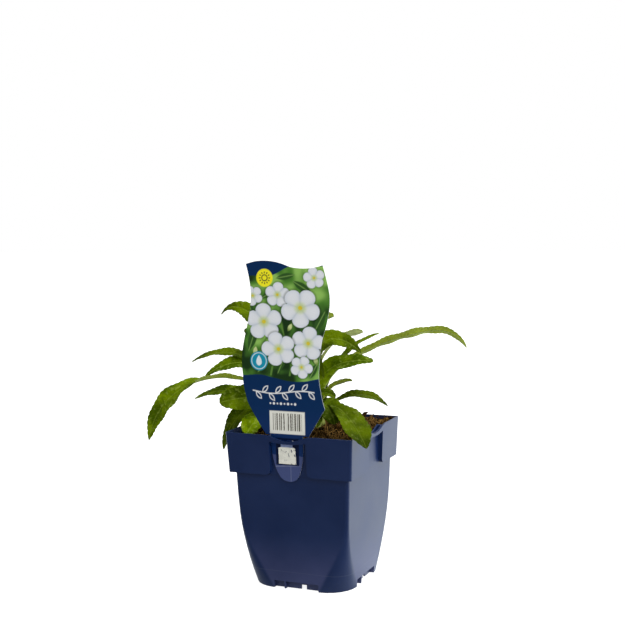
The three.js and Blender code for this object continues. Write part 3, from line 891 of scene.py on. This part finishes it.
def tabColours(x, rise):
    # white and scuffed below, blue-grey under the strap, then navy with a painted highlight on each of its
    # two barbs
    scuffs = noise(x / 0.5 + 60, rise / 2.2 + x / 3, 41) * noise(x / 3 + 20, rise / 1.6, 42)
    # the shape of the two barbs, painted white as their highlights
    barbGlint = 7.74 - 0.4 * rise - np.abs(np.abs(x - tab["middle"]) - 5.4)
    return layered(
        inked(x, 236, 236, 224),
        (smoothStep(0.46, 0.62, scuffs) * 0.85, (70, 76, 96)),
        (smoothStep(13.1, 13.5, rise), (122, 136, 176)),
        (smoothStep(15.8, 16.1, rise), (10, 34, 82)),
        (inside(barbGlint) * (rise > 16.4), (232, 236, 240)),
    )


def makeTab(material):
    # the punched tab: rings along the front and back of a slightly crumpled strip with a barbed head
    rise = np.linspace(0, tab["rises"][-1], tab["rows"])[:, None]
    f = np.linspace(-1, 1, tab["columns"])
    x = tab["middle"] + np.interp(rise, tab["rises"], tab["halves"]) * np.concatenate([f, f[::-1]])
    z = tab["hinge"] + rise + 0 * x
    depth = np.repeat([-tab["thick"] - tab["clear"], -tab["clear"]], tab["columns"])
    crumple = 0.7 * (noise(x / 2.4 + 30, z / 2.4, 31) - 0.5) + 0.35 * (noise(x + 30, z, 32) - 0.5)
    y = card["back"] + depth - tab["lean"] * rise + crumple * smoothStep(0, 4, rise)
    shape = Shape()
    shape.addTube(np.stack([x, y, z], -1), **inks(tabColours(x, z - tab["hinge"])))
    piece = shape.piece("label_tab", material, "label_card")
    piece.data.set_sharp_from_angle(angle=math.radians(tab["sharp"]))


printedCard = labelMaterial()
makeLabel(printedCard)
makeTab(printedCard)
print("label made")


# Leaves. Each follows a midrib that starts at a height on its shoot, with its angles in degrees

# shading is painted light and shade: a leaf's colour is scaled by 0.45 plus 1.1 times it, lighter for
# leaves in light and darker for leaves in shade
leafHabit = {
    "sweep": 0, "stalk": 0.3, "widest": 1.16, "blunt": 0.85, "fold": 16, "wave": 0.7, "tone": 0.5,
    "pale": 0,
}
blade = {
    "step": 1.0, "across": 11, "stalkHalf": 1.4, "stalkThick": 2.0, "bladeThick": 0.55, "tipHalf": 0.3,
    "toothStep": 4.0, "toothDepth": 0.6, "veinStep": 5.2, "veinSwell": 0.4, "veinSlant": 0.9,
    "ribDepth": 0.45, "grooveDepth": 0.18, "wavePhase": 57.3,
}


def leafOf(foot, heading, length, width, pitch, roll=(0,), **changed):
    # pitch and roll run from foot to tip
    return dict(leafHabit, foot=foot, heading=heading, length=length, width=width, pitch=pitch,
                roll=roll) | changed


def leafHalf(leaf, s):
    # half the width: a narrow stalk, then a blade that swells as a power of a sine and ends in a point
    along = (s - leaf["stalk"]) / (1 - leaf["stalk"])
    inBlade = np.clip(along, 0, 1)
    swell = np.abs(np.sin(np.pi * inBlade ** leaf["widest"])) ** leaf["blunt"]
    end = between(blade["stalkHalf"], blade["tipHalf"], inBlade)
    return np.where(along <= 0, blade["stalkHalf"], between(end, leaf["width"] / 2, swell))


def leafAxes(leaf, s):
    # the directions along the leaf, across it and out of its upper face
    pitch = np.radians(mix(leaf["pitch"], s))
    heading = np.radians(leaf["heading"] + leaf["sweep"] * s)
    roll = np.radians(mix(leaf["roll"], s))[:, None]
    along = np.stack([np.cos(pitch) * np.cos(heading), np.cos(pitch) * np.sin(heading), np.sin(pitch)], -1)
    level = np.stack([-np.sin(heading), np.cos(heading), 0 * heading], -1)
    normal = np.cross(along, level)
    across = np.cos(roll) * level + np.sin(roll) * normal
    upper = np.cos(roll) * normal - np.sin(roll) * level
    return along, across, upper


def leafHeight(leaf, s, c, half, top):
    # how far a ring's points stand off the midrib: a fold upwards, waves towards the edges, a swelling
    # between the veins, and the thin lens of the blade with a rib beneath and a groove above
    out = np.abs(c)
    inBlade = np.clip((s - leaf["stalk"]) * 8, 0, 1)
    distance = s * leaf["length"]
    beat = distance / blade["toothStep"]
    fold = np.tan(np.radians(leaf["fold"] * (1.3 - s))) * half * out ** 1.2
    turn = np.radians(leaf["heading"]) * blade["wavePhase"]
    swing = np.where(c > 0, np.sin(beat * 1.3 + turn), np.sin(beat * 1.1 + turn + 2))
    wave = leaf["wave"] * (inBlade * leafHalf(leaf, s) / 8) * swing * out ** 1.6
    slant = (distance - blade["veinSlant"] * out * half) / blade["veinStep"]
    swell = blade["veinSwell"] * inBlade * np.abs(np.sin(np.pi * slant)) * (4 * out * (1 - out))
    thick = between(blade["stalkThick"], blade["bladeThick"], np.clip(s / leaf["stalk"], 0, 1))
    lens = thick / 2 * np.sqrt(np.clip(1 - out ** (2 + 8 * inBlade), 0, 1))
    rib = blade["ribDepth"] * np.exp(-(c * half / 0.8) ** 2) * (top < 0)
    groove = blade["grooveDepth"] * np.exp(-(c * half / 0.6) ** 2) * (top > 0) * inBlade
    return fold + wave + swell + top * lens - rib - groove


def addLeaf(shape, at, leaf):
    # rings round the leaf: the midrib is the running sum of its direction, and a ring goes across the upper
    # face and back under it, with a scalloped edge
    rows = max(24, int(leaf["length"] / blade["step"]))
    s = np.linspace(0, 1, rows + 1)
    halfway, _, _ = leafAxes(leaf, (s[:-1] + s[1:]) / 2)
    start = np.array([[*at, leaf["foot"]]], float)
    centre = np.concatenate([start, start + np.cumsum(halfway, 0) * leaf["length"] / rows])[:, None, :]
    _, across, upper = (axis[:, None, :] for axis in leafAxes(leaf, s))

    s = s[:, None]
    bare = leafHalf(leaf, s)
    inBlade = np.clip((s - leaf["stalk"]) * 8, 0, 1)
    scallop = np.abs(np.sin(np.pi * s * leaf["length"] / blade["toothStep"])) ** 0.7 - 0.5
    half = bare + blade["toothDepth"] * scallop * inBlade * np.clip(bare / 4, 0, 1)
    half = half * np.where(s > 0.985, np.sqrt(np.clip((1 - s) / 0.015, 0, 1)) * 0.85 + 0.15, 1)
    side = np.sin(np.linspace(-1, 1, blade["across"] * 2 - 1) * np.pi / 2)
    c = np.concatenate([side, side[-2:0:-1]])
    top = np.concatenate([np.ones(len(side)), -np.ones(len(side) - 2)])
    top[0] = top[len(side) - 1] = 0
    height = leafHeight(leaf, s, c, half, top)
    points = centre + (c * half)[..., None] * across + height[..., None] * upper
    shape.addTube(
        points[:, ::-1], leafAcross=(c * half)[:, ::-1], leafAlong=s * leaf["length"] + 0 * c,
        leafUnder=(0.5 - 0.5 * top + 0 * s)[:, ::-1], leafTone=leaf["tone"], leafPale=leaf["pale"],
    )


crown = {"low": 106, "radius": 4, "neck": 122, "top": 130}


def addCrown(shape, at):
    # a knobbly upright body of revolution, closing to a blunt top
    turn = circle(24)
    level = np.linspace(0, 1, 26)[:, None]
    z = between(crown["low"], crown["top"], level)
    past = (z - crown["neck"]) / (crown["top"] - crown["neck"])
    narrow = np.where(past < 0, 1, np.sqrt(np.clip(1 - past ** 2, 0.01, 1)))
    radius = crown["radius"] * narrow * (0.93 + 0.06 * np.sin(7 * turn + 9 * level))
    shape.addTube(levelRings(at, radius, z, turn), leafAcross=3.0, leafAlong=0.0, leafUnder=0.6,
                  leafTone=0.35, leafPale=0.3)


leafGreens = {
    "upper": [(0.033, 0.062, 0.0002), (0.12, 0.182, 0.0008)], "upperVein": (0.22, 0.3, 0.03),
    "lower": [(0.25, 0.32, 0.025), (0.37, 0.46, 0.045)], "lowerVein": (0.4, 0.5, 0.2),
    "lit": (0.26, 0.32, 0.06), "pale": (0.56, 0.63, 0.26),
}


def leafMaterial():
    # deep yellow-green above, paler beneath, with a light midrib and side veins, painted glints, and
    # painted light and shade that differ from leaf to leaf
    material, tree, shader = newMaterial("leaf_green")
    aside = maths(tree, "ABSOLUTE", attribute(tree, "leafAcross"))
    cloud, grain = uneven(tree, 55.0, 1400.0)
    wrinkles, _ = uneven(tree, 310.0, 600.0)

    wander = scaled(tree, cloud, 2.2, attribute(tree, "leafAlong"))
    slant = scaled(tree, aside, -blade["veinSlant"], wander)
    wavy = maths(tree, "SINE", scaled(tree, slant, math.pi / blade["veinStep"]))
    sideVein = band(tree, maths(tree, "ABSOLUTE", wavy), 0.3, 0.02)
    midrib = band(tree, aside, 0.75, 0.25)
    vein = maths(tree, "MAXIMUM", midrib, scaled(tree, sideVein, 0.3))

    spread = band(tree, cloud, 0.36, 0.66)
    upper = blend(tree, spread, *leafGreens["upper"])
    upper = blend(tree, scaled(tree, vein, 0.3), upper, leafGreens["upperVein"])
    # painted glints: pale patches where the fine wrinkles are high, standing in for highlights
    lit = scaled(tree, band(tree, wrinkles, 0.56, 0.66), 0.28)
    upper = blend(tree, lit, upper, leafGreens["lit"])
    lower = blend(tree, spread, *leafGreens["lower"])
    lower = blend(tree, scaled(tree, vein, 0.6), lower, leafGreens["lowerVein"])
    colour = blend(tree, attribute(tree, "leafUnder"), upper, lower)
    # painted light and shade: each leaf's colour is scaled by its own shading number
    tone = scaled(tree, attribute(tree, "leafTone"), 1.1, 0.45)
    shade = node(tree, "CombineColor")
    feed(shade, {k: tone for k in range(3)})
    colour = blend(tree, 1.0, colour, shade.outputs["Color"], "MULTIPLY")
    relief = scaled(tree, vein, -0.6, scaled(tree, grain, 0.4))
    feed(shader, {
        "Base Color": blend(tree, attribute(tree, "leafPale"), colour, leafGreens["pale"]),
        "Roughness": scaled(tree, grain, 0.3, 0.3),
        "Specular IOR Level": 0.04,
        "Specular Tint": (1, 1, 0.2),
        "Subsurface Weight": 0.12,
        "Subsurface Radius": (0.0006, 0.001, 0.0002),
        "Subsurface Scale": 1.0,
        "Normal": bump(tree, scaled(tree, wrinkles, 2.8, relief), 0.9, 0.5),
    })
    return material


def backLeaves(first, last, lengths):
    # leaves spread over the back of the pot, evenly fanned
    headings = np.linspace(first, last, len(lengths))
    fan = []
    for k, (heading, length) in enumerate(zip(headings, lengths)):
        odd = k % 2
        fan.append(leafOf(126 - odd, heading, length, 9 + 0.06 * length, [62 - 10 * odd, 26, -18, -52],
                          [0, 12 - 24 * odd], tone=0.45 + 0.1 * odd))
    return fan


# Each shoot's place, the heading of its young leaf, and its leaves
rosettes = {
    "shoot_left": ((-12, -2), 120, [
        leafOf(126, 204, 163, 20, [58, 19, -28, -78], [46, 40, 22, -40, -60], stalk=0.25, widest=1.5,
               tone=0.85),
        leafOf(128, 190, 118, 11, [67, 33, -29], [-26]),
        leafOf(128, 197, 106, 14.5, [80, 27, -38], [-38], tone=1.3),
        leafOf(129.4, 208, 91, 18, [71, -3, -45, -80], [-14, -30, -36, -30], widest=0.8, blunt=0.7,
               tone=0.3),
    ]),
    "shoot_front_left": ((-10, -14), 250, [
        leafOf(127, 213, 70, 21, [60, 15, -15], [-60], blunt=0.45),
        leafOf(124, 213, 55, 21, [66, -6, -56], [0, -20], sweep=32, widest=1.6, blunt=0.5, tone=1.6),
        leafOf(125, 285, 36, 9, [80, 50, 10]),
    ]),
    "shoot_front_right": ((0, -12), 300, [
        leafOf(124.5, -6, 48, 12.5, [102, 52, -34], [20], blunt=0.6, tone=0.3),
        leafOf(130, -30, 91, 22, [63, 6, -32, -53], [20, 20, 12, 5], widest=1.8, blunt=0.8, tone=0.25),
        leafOf(124, -38, 60, 20, [72, 18, -68], [20], blunt=0.6, tone=0.3),
        leafOf(124, -57, 52, 14, [72, 12, -55], blunt=0.6, tone=0.3),
    ]),
    "shoot_right": ((2, 1), 200, [
        leafOf(128, 10, 101, 16, [73, 83, 101, 0, -46], [50], stalk=0.28),
        leafOf(127, 24, 164, 13, [91, 57, 29, 17, 3, -58], [-65, -55, -40, -35, -50]),
        leafOf(127, 10, 84, 19, [98, 73, 20, -5], [60, 60, 38, 30], stalk=0.2, widest=0.7, blunt=0.45,
               tone=1),
        leafOf(126, 21, 69, 12, [62, 14, -40], [22], tone=0.2),
    ]),
    "shoot_back_right": ((1, 11), 60, [
        leafOf(128, 50, 96, 13, [110, 62, -1], [-40], stalk=0.42, widest=1.6, blunt=0.6, pale=0.8),
        leafOf(127, 30, 91, 11, [85, 57, 18], [10]),
        leafOf(126, 30, 48, 11, [93, 54, -4], [-30], widest=1.5, blunt=0.6),
    ]),
    "shoot_back": ((-6, 18), 90, backLeaves(110, 150, [60, 86, 62, 76])),
    "shoot_back_left": ((-14, 10), 150, [
        leafOf(126, 186, 102, 13, [27, 15, -26], [-28], tone=0.65), *backLeaves(156, 172, [92, 70]),
    ]),
}
stem = {
    "at": (-5, 5), "radius": 1.7, "height": 206,
    "leaves": [
        leafOf(182, 194, 87, 18, [26, 31, 38, 39, 15, -56], [-60], widest=0.7, blunt=1.3),
        leafOf(176, 182, 64, 10, [41, 20, 8], [-55], widest=1.4, blunt=0.5),
        leafOf(190, 62, 37, 10, [80, 40, -10], [-45], widest=1.4, blunt=0.6),
        *(leafOf(154 + 13 * k, 100 + 75 * k, 34 - 4 * k, 6, [70, 45, 15], stalk=0.15) for k in range(4)),
    ],
}
leafGreen = leafMaterial()


def makeRosette(name, at, young, leaves):
    shape = Shape()
    addCrown(shape, at)
    for leaf in [*leaves, leafOf(126, young, 30, 6, [84, 70, 40], fold=24)]:
        addLeaf(shape, at, leaf)
    shape.piece(name + "_leaves", leafGreen, "leaf", name)


def makeStem():
    # a slender ribbed stalk that narrows upwards, with small leaves up its length
    turn = circle(20)
    rise = np.linspace(0, 1, 90)[:, None]
    z = between(crown["low"], stem["height"], rise)
    radius = stem["radius"] * (1 - 0.4 * rise) * (1 + 0.05 * np.cos(5 * turn)) * 0.98
    shape = Shape()
    shape.addTube(levelRings(stem["at"], radius, z, turn), leafAcross=2.0, leafAlong=0.0, leafUnder=0.7,
                  leafTone=0.45, leafPale=0.1)
    for leaf in stem["leaves"]:
        addLeaf(shape, stem["at"], leaf)
    shape.piece("stem_leaves", leafGreen, "leaf", "leafy_stem")


for rosetteName, rosette in rosettes.items():
    makeRosette(rosetteName, *rosette)
makeStem()
print("leaves made")
